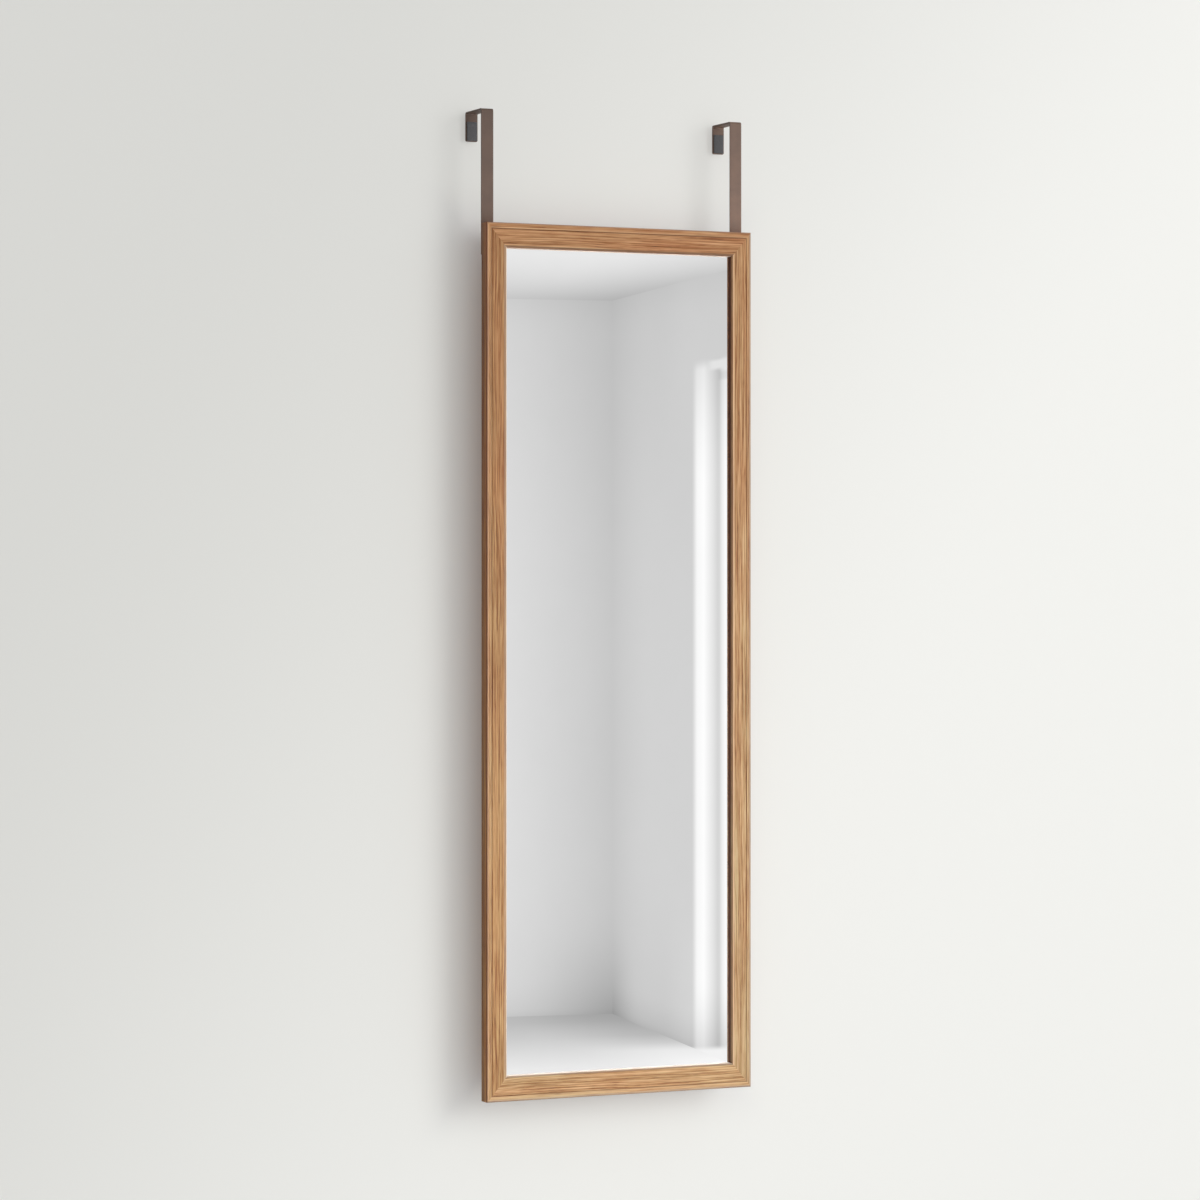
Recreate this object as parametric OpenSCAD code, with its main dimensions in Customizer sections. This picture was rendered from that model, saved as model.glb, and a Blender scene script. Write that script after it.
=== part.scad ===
// Tall framed mirror that hangs from two flat metal hooks.
// Millimetres. +X is to the right seen from the front, +Y runs from front to back, +Z is up.
// The origin lies midway across the frame, at the underside of the hooks' bridges,
// in the middle of the gap between the hooks' front and rear legs.

/* [Frame] */
// Width of the frame over its outer sides
frame_w = 370; // [280:5:600]
// Height of the frame over its outer edges
frame_h = 1100; // [500:10:1700]
// Depth of the frame from its front to its back
frame_d = 18; // [16:0.5:30]
// Width of the face of each upright
stile_face = 27; // [23:0.5:45]
// Width of the face of the top and bottom rails
rail_face = 31.5; // [26:0.5:50]
// Radius of the frame's outer front arris
outer_arris_r = 1.5; // [0.5:0.25:2.5]
// Radius of the frame's inner front arris
inner_arris_r = 1.5; // [0.5:0.25:2.5]
// Distance from an upright's outer side to its quirk, the fine round groove along its face
quirk_offset = 6.5; // [4:0.5:10]
// Radius of the quirk
quirk_r = 0.6; // [0.3:0.1:1]

/* [Glass and back] */
// Depth of the glass behind the frame's front
reveal_d = 8; // [5:0.5:9.5]
// Width of the lip that laps over the edge of the glass, on the uprights and the rails
glass_lip = 6; // [4:0.5:8]
// Gap round the edges of the glass, the foam and the board
edge_gap = 1; // [0.5:0.25:2]
// Thickness of the glass
glass_t = 3; // [3:0.5:5]
// Thickness of the foam sheet behind the glass
foam_t = 1; // [0.5:0.25:2]
// Thickness of the backing board
board_t = 3; // [2.5:0.5:4]

/* [Board tabs] */
// Width of each steel tab that holds the board in
tab_w = 6; // [4:0.5:10]
// Thickness of a tab
tab_t = 0.5; // [0.4:0.1:1]
// Length of a tab that lies over the board
tab_reach = 9; // [6:0.5:14]
// Length of a tab that is driven into the frame
tab_bite = 6; // [4:0.5:8]
// Length of a tab's driven point
tab_point = 3; // [2:0.5:4]
// Largest distance from one tab to the next
tab_pitch = 240; // [120:10:400]

/* [Corner wedges] */
// Length of each leg of the V-shaped wedges that pin the mitres
wedge_leg = 6; // [4:0.5:7]
// Thickness of a wedge
wedge_t = 0.8; // [0.6:0.1:1.2]
// Depth to which a wedge is driven from the back
wedge_h = 9; // [6:0.5:12]
// Angle between the legs of a wedge
wedge_angle = 84; // [70:2:110]
// Distance from the frame's outer corner to the tip of its wedge, along the mitre
wedge_in = 11; // [9:0.5:15]

/* [Hooks] */
// Width of each hook's strap
strap_w = 16; // [12:0.5:20]
// Thickness of the strap
strap_t = 2; // [1:0.25:3]
// Clear gap between the front leg and the rear leg of a hook
hook_gap = 48; // [35:1:60]
// Drop from the underside of the bridges to the top of the frame
hook_drop = 142; // [60:1:250]
// Length of strap that lies against the back of the frame
strap_lap = 40; // [32:1:60]
// Length of the rear leg below the underside of the bridge
lip_len = 35; // [25:1:60]
// Inner radius of the strap's bends
bend_r = 1; // [0.5:0.25:4]
// Radius of the corners at the strap's ends
strap_corner_r = 2; // [0.5:0.25:4]
// Distance from the frame's left side to the left strap
left_inset = 0; // [0:0.5:6]
// Distance from the frame's right side to the right strap
right_inset = 5; // [0:0.5:6]

/* [Screws] */
// Diameter of a screw's shank
screw_d = 3.5; // [3:0.25:4]
// Length of a screw under its head
screw_len = 12; // [10:1:15]
// Length of a screw's conical tip
screw_tip = 3; // [2:0.5:4]
// Diameter of a screw's head
head_d = 7; // [6:0.5:8]
// Height of a screw's head
head_h = 2.4; // [1.5:0.1:3]
// Width of the cross slot in a head
slot_w = 1; // [0.6:0.1:1.4]
// Length of the cross slot in a head
slot_len = 4; // [3:0.25:4.5]
// Depth of the cross slot in a head
slot_d = 1.3; // [0.8:0.1:1.8]
// Diametral clearance of a screw in the strap
strap_hole_gap = 0.8; // [0.4:0.1:1.2]
// Diametral clearance of a screw in its pilot hole
pilot_gap = 0.1; // [0.04:0.02:0.3]
// Distance from the strap's lower end to its lower screw
screw_end = 6.5; // [5:0.5:8]
// Distance between a strap's two screws
screw_pitch = 13; // [9:0.5:15]

/* [Pads and bumpers] */
// Thickness of the pad on the inside of each rear leg
pad_t = 1.5; // [1:0.25:3]
// Length of the pad
pad_len = 24; // [15:1:30]
// Margin of bare strap beside and below the pad
pad_margin = 1; // [0.5:0.25:3]
// Diameter of each bumper at the foot of the frame's back
bumper_d = 12; // [8:1:18]
// Height of a bumper
bumper_h = 4; // [3:0.5:8]
// Radius of a bumper's rounded edge
bumper_round = 1.5; // [0.5:0.25:2.5]
// Height of a bumper's centre above the bottom of the frame
bumper_up = 40; // [36:1:80]

/* [Hidden] */

// Overshoot of a cutting solid past the face that it cuts
cut = 1;
// Round faces are true circles at any count above 12
round_fn = 48;

oak = [0.75, 0.58, 0.41];
taupe = [0.46, 0.40, 0.36];
silver = [0.82, 0.84, 0.85];
steel = [0.68, 0.68, 0.70];
hardboard = [0.50, 0.36, 0.24];
foam_white = [0.93, 0.93, 0.92];
felt_grey = [0.30, 0.30, 0.31];
clear_rubber = [0.80, 0.81, 0.80];

// Planes of the frame
back_y = -hook_gap / 2 - strap_t;
front_y = back_y - frame_d;
top_z = -hook_drop;
bottom_z = top_z - frame_h;

// Planes of what lies in the rebate, from the front
glass_y = front_y + reveal_d;
foam_y = glass_y + glass_t;
board_y = foam_y + foam_t;
tab_y = board_y + board_t;

// The rebate is the pocket behind the lips
rebate_w = frame_w - 2 * (stile_face - glass_lip);
rebate_h = frame_h - 2 * (rail_face - glass_lip);
rebate_z = bottom_z + rail_face - glass_lip;

// The mitre runs from the outer corner to the inner corner of the faces
mitre_len = sqrt(stile_face * stile_face + rail_face * rail_face);
mitre_angle = atan2(rail_face, stile_face);

// Lines along a rail lie further in than on an upright, so that they meet on the mitre
function rail_offset(stile_offset) = stile_offset * rail_face / stile_face;

// Places of a row of tabs along an edge, centred on the edge
function tab_count(edge) = ceil(edge / tab_pitch);
function tab_places(edge) =
    let (n = tab_count(edge), step = edge / n)
    [for (i = [0 : n - 1]) (i + 0.5) * step];

// Left edges of the straps
left_strap_x = -frame_w / 2 + left_inset;
right_strap_x = frame_w / 2 - right_inset - strap_w;
strap_end_z = top_z - strap_lap;

// Corner of a square less a quarter circle, to be cut away from a corner at the origin
// that lies towards +X and +Y
module corner_bite(r) {
    difference() {
        translate([-cut, -cut]) square(r + cut);
        translate([r, r]) circle(r, $fn = round_fn);
    }
}

// Section of a frame member: outer side at x = 0, inner side at x = face, front at y = 0
module member_section(face, quirk_x) {
    difference() {
        square([face, frame_d]);
        corner_bite(outer_arris_r);
        translate([face, 0]) mirror([1, 0]) corner_bite(inner_arris_r);
        translate([quirk_x, 0]) circle(quirk_r, $fn = round_fn);
    }
}

// Frame member standing upright, its outer side at x = 0 and its foot at z = 0,
// with mitred ends that rise by other_face from the outer side to the inner side
module mitred_member(face, other_face, length, quirk_x) {
    intersection() {
        linear_extrude(length) member_section(face, quirk_x);
        translate([0, frame_d, 0]) rotate([90, 0, 0]) linear_extrude(frame_d)
            polygon([[0, 0], [face, other_face], [face, length - other_face], [0, length]]);
    }
}

// Pocket for the glass, the foam and the board, open at the back
module rebate() {
    translate([-rebate_w / 2, glass_y, rebate_z])
        cube([rebate_w, frame_d - reveal_d + cut, rebate_h]);
}

// Sheet that fills the rebate but for the gap round its edges
module rebate_sheet(y, thickness) {
    translate([-rebate_w / 2 + edge_gap, y, rebate_z + edge_gap])
        cube([rebate_w - 2 * edge_gap, thickness, rebate_h - 2 * edge_gap]);
}

// Outline of a tab that reaches along +X over the board, with its point in the frame at -X
module tab_outline() {
    half = tab_w / 2;
    polygon([
        [-tab_bite, 0], [-tab_bite + tab_point, -half], [tab_reach - half, -half],
        [tab_reach - half, half], [-tab_bite + tab_point, half]
    ]);
    translate([tab_reach - half, 0]) circle(half, $fn = round_fn);
}

// Tab on the left side of the rebate, its middle at z = 0
module tab() {
    translate([0, tab_y + tab_t, 0]) rotate([90, 0, 0]) linear_extrude(tab_t) tab_outline();
}

module side_tabs() {
    for (z = tab_places(rebate_h)) translate([-rebate_w / 2, 0, rebate_z + z]) tab();
}

module end_tabs() {
    for (x = tab_places(rebate_w))
        translate([x - rebate_w / 2, 0, rebate_z + rebate_h]) rotate([0, 90, 0]) tab();
}

// V-shaped wedge across the mitre of the top left corner, driven in from the back
module wedge() {
    translate([-frame_w / 2, back_y, top_z]) rotate([90, 0, 0]) linear_extrude(wedge_h)
        rotate(-mitre_angle) translate([wedge_in, 0])
            for (side = [-1, 1])
                rotate(side * wedge_angle / 2) translate([0, -wedge_t / 2]) square([wedge_leg, wedge_t]);
}

// Mirrors what is modelled at the top left to another corner of the frame
module to_right() {
    mirror([1, 0, 0]) children();
}

module to_bottom() {
    translate([0, 0, top_z + bottom_z]) mirror([0, 0, 1]) children();
}

// Screw along -Y, the underside of its head at the origin
module screw() {
    rotate([90, 0, 0]) difference() {
        rotate_extrude($fn = round_fn) union() {
            // Shank with its conical tip
            polygon([
                [0, screw_len], [screw_d / 2, screw_len - screw_tip], [screw_d / 2, 0], [0, 0]
            ]);
            // Low domed head: its rim is straight for half its height, then a quarter round
            translate([0, -head_h]) square([head_d / 2 - head_h / 2, head_h]);
            translate([0, -head_h / 2]) square([head_d / 2, head_h / 2]);
            translate([head_d / 2 - head_h / 2, -head_h / 2]) circle(head_h / 2, $fn = round_fn);
        }
        for (turn = [0, 90]) rotate(turn)
            translate([-slot_len / 2, -slot_w / 2, -head_h - cut])
                cube([slot_len, slot_w, slot_d + cut]);
    }
}

// Heights of a strap's two screws
screw_heights = [strap_end_z + screw_end, strap_end_z + screw_end + screw_pitch];

// Runs its children at both screws of the strap whose left edge is at x
module at_screws(x) {
    for (z = screw_heights) translate([x + strap_w / 2, back_y + strap_t, z]) children();
}

module pilot_holes(x) {
    at_screws(x) rotate([90, 0, 0])
        cylinder(h = screw_len + pilot_gap, d = screw_d + pilot_gap, $fn = round_fn);
}

// Tall shape with two rounded top corners, standing on y = low
module arch_section(half_w, high, low, r) {
    translate([-half_w, low]) square([2 * half_w, high - r - low]);
    translate([-half_w + r, low]) square([2 * (half_w - r), high - low]);
    for (side = [-1, 1]) translate([side * (half_w - r), high - r]) circle(r, $fn = round_fn);
}

// Side view of a hook: front leg at -X, rear leg at +X, underside of the bridge at y = 0
module hook_section() {
    difference() {
        arch_section(hook_gap / 2 + strap_t, strap_t, strap_end_z, bend_r + strap_t);
        arch_section(hook_gap / 2, 0, strap_end_z - cut, bend_r);
        translate([0, strap_end_z - cut])
            square([hook_gap / 2 + strap_t + cut, -lip_len - strap_end_z + cut]);
    }
}

// Rounds both corners of a strap's end that lies at height z and starts at depth y
module end_corners(y, z) {
    for (side = [0, 1])
        translate([side * strap_w, y + strap_t + cut, z]) rotate([90, 0, 0])
            linear_extrude(strap_t + 2 * cut) mirror([side, 0]) corner_bite(strap_corner_r);
}

// Hook bent from one flat strap, its left edge at x
module hook(x) {
    difference() {
        translate([x, 0, 0]) difference() {
            rotate([90, 0, 90]) linear_extrude(strap_w) hook_section();
            end_corners(back_y, strap_end_z);
            end_corners(hook_gap / 2, -lip_len);
        }
        at_screws(x) rotate([90, 0, 0]) translate([0, 0, -cut])
            cylinder(h = strap_t + 2 * cut, d = screw_d + strap_hole_gap, $fn = round_fn);
    }
}

// Pad on the inside of the rear leg of the hook whose left edge is at x
module hook_pad(x) {
    translate([x + pad_margin, hook_gap / 2 - pad_t, -lip_len + pad_margin])
        cube([strap_w - 2 * pad_margin, pad_t, pad_len]);
}

// Round bumper on the frame's back, over the solid part of the left upright
module bumper() {
    r = bumper_d / 2;
    translate([-frame_w / 2 + (stile_face - glass_lip) / 2, back_y, bottom_z + bumper_up])
        rotate([-90, 0, 0]) rotate_extrude($fn = round_fn) union() {
            square([r, bumper_h - bumper_round]);
            square([r - bumper_round, bumper_h]);
            translate([r - bumper_round, bumper_h - bumper_round])
                circle(bumper_round, $fn = round_fn);
        }
}

module left_upright() {
    translate([-frame_w / 2, front_y, bottom_z])
        mitred_member(stile_face, rail_face, frame_h, quirk_offset);
}

module upper_rail() {
    translate([-frame_w / 2, front_y, top_z]) rotate([0, 90, 0])
        mitred_member(rail_face, stile_face, frame_w, rail_offset(quirk_offset));
}

module left_stile() {
    color(oak) difference() {
        left_upright();
        rebate();
        side_tabs();
        wedge();
        to_bottom() wedge();
        pilot_holes(left_strap_x);
    }
}

module right_stile() {
    color(oak) difference() {
        to_right() left_upright();
        rebate();
        to_right() side_tabs();
        to_right() wedge();
        to_bottom() to_right() wedge();
        pilot_holes(right_strap_x);
    }
}

module top_rail() {
    color(oak) difference() {
        upper_rail();
        rebate();
        end_tabs();
        wedge();
        to_right() wedge();
    }
}

module bottom_rail() {
    color(oak) to_bottom() difference() {
        upper_rail();
        rebate();
        end_tabs();
        wedge();
        to_right() wedge();
    }
}

module mirror_pane() {
    color(silver) rebate_sheet(glass_y, glass_t);
}

module foam_sheet() {
    color(foam_white) rebate_sheet(foam_y, foam_t);
}

module backing_board() {
    color(hardboard) rebate_sheet(board_y, board_t);
}

module left_tabs() {
    color(steel) side_tabs();
}

module right_tabs() {
    color(steel) to_right() side_tabs();
}

module top_tabs() {
    color(steel) end_tabs();
}

module bottom_tabs() {
    color(steel) to_bottom() end_tabs();
}

module top_left_wedge() {
    color(steel) wedge();
}

module top_right_wedge() {
    color(steel) to_right() wedge();
}

module bottom_left_wedge() {
    color(steel) to_bottom() wedge();
}

module bottom_right_wedge() {
    color(steel) to_bottom() to_right() wedge();
}

module left_hook() {
    color(taupe) hook(left_strap_x);
}

module right_hook() {
    color(taupe) hook(right_strap_x);
}

module left_hook_screws() {
    color(steel) at_screws(left_strap_x) screw();
}

module right_hook_screws() {
    color(steel) at_screws(right_strap_x) screw();
}

module left_hook_pad() {
    color(felt_grey) hook_pad(left_strap_x);
}

module right_hook_pad() {
    color(felt_grey) hook_pad(right_strap_x);
}

module left_bumper() {
    color(clear_rubber) bumper();
}

module right_bumper() {
    color(clear_rubber) to_right() bumper();
}

left_stile();
right_stile();
top_rail();
bottom_rail();
mirror_pane();
foam_sheet();
backing_board();
left_tabs();
right_tabs();
top_tabs();
bottom_tabs();
top_left_wedge();
top_right_wedge();
bottom_left_wedge();
bottom_right_wedge();
left_hook();
right_hook();
left_hook_screws();
right_hook_screws();
left_hook_pad();
right_hook_pad();
left_bumper();
right_bumper();
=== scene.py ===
"""Looks of a tall framed mirror that hangs from two flat metal hooks.

Metres. +X is to the right seen from the front, +Y from the front to the back, +Z up, and the
origin lies at the underside of the hooks' bridges, midway across the frame.
"""
import math
from collections import namedtuple

import bmesh
import bpy
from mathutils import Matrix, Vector, noise


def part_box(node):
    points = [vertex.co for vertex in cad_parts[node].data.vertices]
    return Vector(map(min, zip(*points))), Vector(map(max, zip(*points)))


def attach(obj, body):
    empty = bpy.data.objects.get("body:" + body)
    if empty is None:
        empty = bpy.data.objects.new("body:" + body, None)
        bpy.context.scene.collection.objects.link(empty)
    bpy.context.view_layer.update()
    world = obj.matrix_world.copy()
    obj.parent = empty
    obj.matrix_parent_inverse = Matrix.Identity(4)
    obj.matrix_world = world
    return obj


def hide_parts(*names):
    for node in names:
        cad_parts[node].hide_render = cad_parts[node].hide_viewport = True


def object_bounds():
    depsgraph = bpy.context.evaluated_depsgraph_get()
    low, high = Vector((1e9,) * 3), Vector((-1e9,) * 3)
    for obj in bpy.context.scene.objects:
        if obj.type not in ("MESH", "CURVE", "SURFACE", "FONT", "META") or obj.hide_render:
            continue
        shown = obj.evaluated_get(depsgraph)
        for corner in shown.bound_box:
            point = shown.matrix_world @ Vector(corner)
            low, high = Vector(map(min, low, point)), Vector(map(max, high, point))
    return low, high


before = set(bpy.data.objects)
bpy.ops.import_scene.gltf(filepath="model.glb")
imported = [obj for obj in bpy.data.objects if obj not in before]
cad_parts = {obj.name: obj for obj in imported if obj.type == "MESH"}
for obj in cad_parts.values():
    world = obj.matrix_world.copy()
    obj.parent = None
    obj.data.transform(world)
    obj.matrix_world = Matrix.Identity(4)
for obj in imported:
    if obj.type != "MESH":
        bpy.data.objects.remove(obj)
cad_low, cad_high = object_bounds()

MM = 0.001

# Planes and faces of the frame, from the CAD nodes
stile_low, stile_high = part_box("left_stile")
rail_low, rail_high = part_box("top_rail")
FRAME_LEFT, FRAME_RIGHT = rail_low.x, rail_high.x
FRAME_BOTTOM, FRAME_TOP = stile_low.z, stile_high.z
FRONT_Y = stile_low.y
FRAME_W = FRAME_RIGHT - FRAME_LEFT
FRAME_H = FRAME_TOP - FRAME_BOTTOM
STILE_FACE = stile_high.x - stile_low.x
RAIL_FACE = rail_high.z - rail_low.z

# Section of an upright: the quirk's distance from the outer side and its radius, the radius of
# the rounded edges, and the depth of the glass below the face
QUIRK_ACROSS = 6.5 * MM
QUIRK_R = 0.6 * MM
ARRIS_R = 1.5 * MM
REVEAL_D = 8 * MM


# ---------------------------------------------------------------- colours and nodes

WHITE = (1, 1, 1, 1)
FLOAT, VECTOR, COLOUR = "NodeSocketFloat", "NodeSocketVector", "NodeSocketColor"


def srgb(red, green, blue):
    """Linear colour of three values from 0 to 255 as a screen shows them."""
    linear = [
        c / 12.92 if c <= 0.04045 else ((c + 0.055) / 1.055) ** 2.4
        for c in (red / 255, green / 255, blue / 255)
    ]
    return (*linear, 1.0)


class Tree:
    """Makes and links the nodes of one shader tree. A value is a number, a colour or a socket."""

    def __init__(self, tree):
        self.tree = tree

    def put(self, socket, value):
        if isinstance(value, bpy.types.NodeSocket):
            self.tree.links.new(value, socket)
        else:
            socket.default_value = value

    def fill(self, node, inputs):
        for name, value in inputs.items():
            self.put(node.inputs[name], value)

    def add(self, kind, inputs=None, **settings):
        node = self.tree.nodes.new(kind)
        for name, value in settings.items():
            setattr(node, name, value)
        self.fill(node, inputs or {})
        return node

    def out(self, kind, inputs=None, **settings):
        """First output of a new node."""
        return self.add(kind, inputs, **settings).outputs[0]

    def group(self, group, inputs):
        """Outputs of a shared effect."""
        return self.add("ShaderNodeGroup", inputs, node_tree=group).outputs

    def math(self, operation, *values):
        return self.out("ShaderNodeMath", dict(enumerate(values)), operation=operation)

    def times(self, first, second):
        return self.math("MULTIPLY", first, second)

    def minus(self, first, second):
        return self.math("SUBTRACT", first, second)

    def linear(self, value, slope, start):
        """start + slope * value"""
        return self.math("MULTIPLY_ADD", value, slope, start)

    def towards(self, share, start, end):
        """start where share is 0, end where it is 1."""
        return self.linear(share, self.minus(end, start), start)

    def vector(self, operation, *values, result=0):
        node = self.add("ShaderNodeVectorMath", dict(enumerate(values)), operation=operation)
        return node.outputs[result]

    def dot(self, first, second):
        return self.vector("DOT_PRODUCT", first, second, result="Value")

    def length(self, vector):
        return self.vector("LENGTH", vector, result="Value")

    def split(self, place):
        """X, Y and Z of a place."""
        return self.add("ShaderNodeSeparateXYZ", {0: place}).outputs

    def join(self, x, y, z=0.0):
        return self.out("ShaderNodeCombineXYZ", {"X": x, "Y": y, "Z": z})

    def noise(self, place, stretch, detail, roughness=0.5):
        """Noise over a place in metres; stretch gives its cells per metre on each axis."""
        return self.out("ShaderNodeTexNoise", {
            "Vector": self.vector("MULTIPLY", place, stretch), "Scale": 1.0,
            "Detail": detail, "Roughness": roughness})

    def ramp(self, value, stops):
        """Colour ramp through (position, colour or grey) stops."""
        node = self.add("ShaderNodeValToRGB", {"Fac": value})
        elements = node.color_ramp.elements
        while len(elements) < len(stops):
            elements.new(0.5)
        for element, (position, colour) in zip(elements, stops):
            element.position = position
            element.color = colour if isinstance(colour, tuple) else (colour, colour, colour, 1)
        return node.outputs[0]

    def smooth(self, value, low, high):
        """0 at low, 1 at high, with a smooth step between."""
        return self.out("ShaderNodeMapRange", {0: value, 1: low, 2: high},
                        interpolation_type="SMOOTHSTEP")

    def band(self, value, start, end, soft):
        """1 between start and end, 0 outside them, with edges as wide as soft."""
        rise = self.smooth(value, start - soft / 2, start + soft / 2)
        fall = self.smooth(value, end + soft / 2, end - soft / 2)
        return self.times(rise, fall)

    def mix(self, factor, first, second, blend="MIX"):
        node = self.add("ShaderNodeMix", {"Factor": factor}, data_type="RGBA", blend_type=blend)
        colour_inputs = [s for s in node.inputs if s.type == "RGBA"]
        self.put(colour_inputs[0], first)
        self.put(colour_inputs[1], second)
        return next(s for s in node.outputs if s.type == "RGBA")

    def tinted(self, colour, tint):
        return self.mix(1.0, colour, tint, blend="MULTIPLY")

    def show(self, surface, output="ShaderNodeOutputMaterial"):
        """Makes a shader the surface of the tree's material or world."""
        self.add(output, {"Surface": surface})


def node_group(name, inputs, outputs):
    """Empty shader group with named sockets: {name: (socket type, default)}."""
    group = bpy.data.node_groups.new(name, "ShaderNodeTree")
    for label, (kind, default) in inputs.items():
        socket = group.interface.new_socket(label, in_out="INPUT", socket_type=kind)
        if default is not None:
            socket.default_value = default
    for label, kind in outputs.items():
        group.interface.new_socket(label, in_out="OUTPUT", socket_type=kind)
    tree = Tree(group)
    given = tree.add("NodeGroupInput").outputs
    wanted = tree.add("NodeGroupOutput")
    return group, tree, given, wanted


def empty_tree(owner):
    """Empty node tree of a material or a world."""
    owner.use_nodes = True
    owner.node_tree.nodes.clear()
    return Tree(owner.node_tree)


def bare_material(name):
    """New material, its empty tree and its place in the row frame."""
    made = bpy.data.materials.new(name)
    tree = empty_tree(made)
    return made, tree, tree.add("ShaderNodeTexCoord").outputs["Object"]


def material(name):
    """New material, its tree, its Principled shader and its place in the row frame."""
    made, tree, place = bare_material(name)
    shader = tree.add("ShaderNodeBsdfPrincipled")
    tree.show(shader.outputs[0])
    return made, tree, shader, place


def add_bump(tree, shader, height, distance, strength):
    bump = {"Height": height, "Distance": distance, "Strength": strength}
    tree.fill(shader, {"Normal": tree.out("ShaderNodeBump", bump)})


# ---------------------------------------------------------------- shared effects

# Oak figure. Stretches are cells per metre across, deep and along.
RING_PITCH = 3.8 * MM
RING_LEAN = 0.9
RING_DARK = 0.17
FIGURE_DRIFT = 9 * MM
FIBRE_SHARE = 0.15
FIBRES = (2300, 2300, 40)
# Long lines, short flecks and broad bands, each with its share
STREAKS = (
    (0.22, (1350, 1350, 11)),
    (0.26, (900, 900, 11)),
    (0.1, (600, 600, 8)),
    (0.12, (640, 640, 38)),
    (0.06, (720, 720, 90)),
    (0.09, (150, 150, 3)),
)
GRAIN_CONTRAST = 1.8
GRAIN_TONE = 0.545
OAK_COLOURS = (
    (0.14, srgb(106, 56, 22)), (0.34, srgb(150, 98, 52)), (0.5, srgb(180, 132, 88)),
    (0.66, srgb(201, 160, 117)), (0.86, srgb(218, 182, 144)),
)
REDDER_CAST, YELLOWER_CAST = (1.0, 0.91, 0.82, 1), (0.96, 0.98, 0.93, 1)
PORE_COLOUR, PORE_AMOUNT = srgb(92, 54, 28), 0.7


def make_oak_grain():
    """Oak figure over a place of (across, deep, along): rings, streaks, fibres and pores."""
    group, tree, given, wanted = node_group(
        "oak_grain",
        {
            "Place": (VECTOR, None),
            "Cast": (COLOUR, WHITE),
            "Contrast": (FLOAT, GRAIN_CONTRAST),
        },
        {"Color": COLOUR, "Tone": FLOAT, "Height": FLOAT},
    )
    place = given["Place"]
    # The figure drifts sideways by a few millimetres along the member
    sway = tree.noise(place, (20, 20, 3.5), detail=1.0)
    drift = tree.times(tree.minus(sway, 0.5), FIGURE_DRIFT)
    drifted = tree.vector("ADD", place, tree.join(drift, drift))
    # Growth rings: each goes slowly from light to dark and sharply back
    ring_field = tree.dot(drifted, (1 / RING_PITCH, RING_LEAN / RING_PITCH, 0))
    uneven = tree.times(tree.noise(drifted, (80, 80, 1.6), detail=1.5), 3.5)
    ring = tree.math("FRACT", tree.math("ADD", ring_field, uneven))
    ring_dark = tree.ramp(ring, [(0.0, 0.0), (0.5, 0.1), (0.78, 1.0), (0.92, 0.9), (1.0, 0.0)])
    strength = tree.smooth(tree.noise(place, (160, 160, 6), detail=1.0), 0.34, 0.62)
    ring_dark = tree.times(ring_dark, strength)
    fibres = tree.noise(drifted, FIBRES, detail=2.0)
    streaks = tree.times(fibres, FIBRE_SHARE)
    for share, stretch in STREAKS:
        streaks = tree.linear(tree.noise(drifted, stretch, detail=0.0), share, streaks)
    tone = tree.linear(tree.minus(streaks, 0.5), given["Contrast"], GRAIN_TONE)
    tone = tree.linear(ring_dark, -RING_DARK, tone)
    colour = tree.ramp(tone, OAK_COLOURS)
    # Slow drift between a redder and a yellower cast, and then the light painted on the member
    cast = tree.ramp(tree.noise(drifted, (70, 70, 5), detail=1.0), [
        (0.35, REDDER_CAST), (0.65, YELLOWER_CAST)])
    colour = tree.tinted(tree.tinted(colour, cast), given["Cast"])
    # Pores are short dark dashes, closest together in the dark streaks
    dashes = tree.smooth(tree.noise(drifted, (3200, 3200, 70), detail=1.0), 0.56, 0.66)
    pores = tree.times(dashes, tree.smooth(tone, 0.56, 0.36))
    tree.fill(wanted, {
        "Color": tree.mix(tree.times(pores, PORE_AMOUNT), colour, PORE_COLOUR),
        "Tone": tone,
        "Height": tree.minus(tree.times(fibres, 0.5), pores),
    })
    return group


def make_line_mask():
    """1 along a line across the section at Middle, falling to 0 half a Width away."""
    group, tree, given, wanted = node_group(
        "line_mask",
        {"Across": (FLOAT, 0.0), "Middle": (FLOAT, 0.0), "Width": (FLOAT, MM)},
        {"Mask": FLOAT},
    )
    away = tree.math("ABSOLUTE", tree.minus(given["Across"], given["Middle"]))
    share = tree.math("DIVIDE", away, tree.times(given["Width"], 0.5))
    tree.fill(wanted, {"Mask": tree.smooth(share, 1.0, 0.35)})
    return group


def make_speckle():
    """Fine even mottling: a tone about 0.5 and a height for a bump."""
    group, tree, given, wanted = node_group(
        "speckle",
        {"Place": (VECTOR, None), "Cells": (FLOAT, 1000.0), "Drift": (FLOAT, 40.0)},
        {"Tone": FLOAT, "Height": FLOAT},
    )
    fine, broad = (
        tree.out("ShaderNodeTexNoise", {
            "Vector": given["Place"], "Scale": given[cells], "Detail": detail})
        for cells, detail in (("Cells", 2.0), ("Drift", 3.0))
    )
    tone = tree.math("ADD", tree.times(fine, 0.4), tree.times(broad, 0.6))
    tree.fill(wanted, {"Tone": tone, "Height": fine})
    return group


OAK_GRAIN = make_oak_grain()
LINE_MASK = make_line_mask()
SPECKLE = make_speckle()


# ---------------------------------------------------------------- oak

# A line or a side along an edge, most of them painted light and shade: how much of its tint it
# has, the tint, and for a line its width and its distance from the glass
Edge = namedtuple("Edge", "amount tint width inset", defaults=(None, None))

# Painted shade darkens the quirk's groove, and a painted highlight runs along its outer edge
QUIRK_SHADE = srgb(92, 56, 30)
QUIRK_HIGHLIGHT = Edge(0.4, srgb(222, 184, 138))
# Painted shade along each side, in a line just behind the front edge
SIDE_SHADE_LINE = Edge(0.85, srgb(134, 54, 4))
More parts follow.
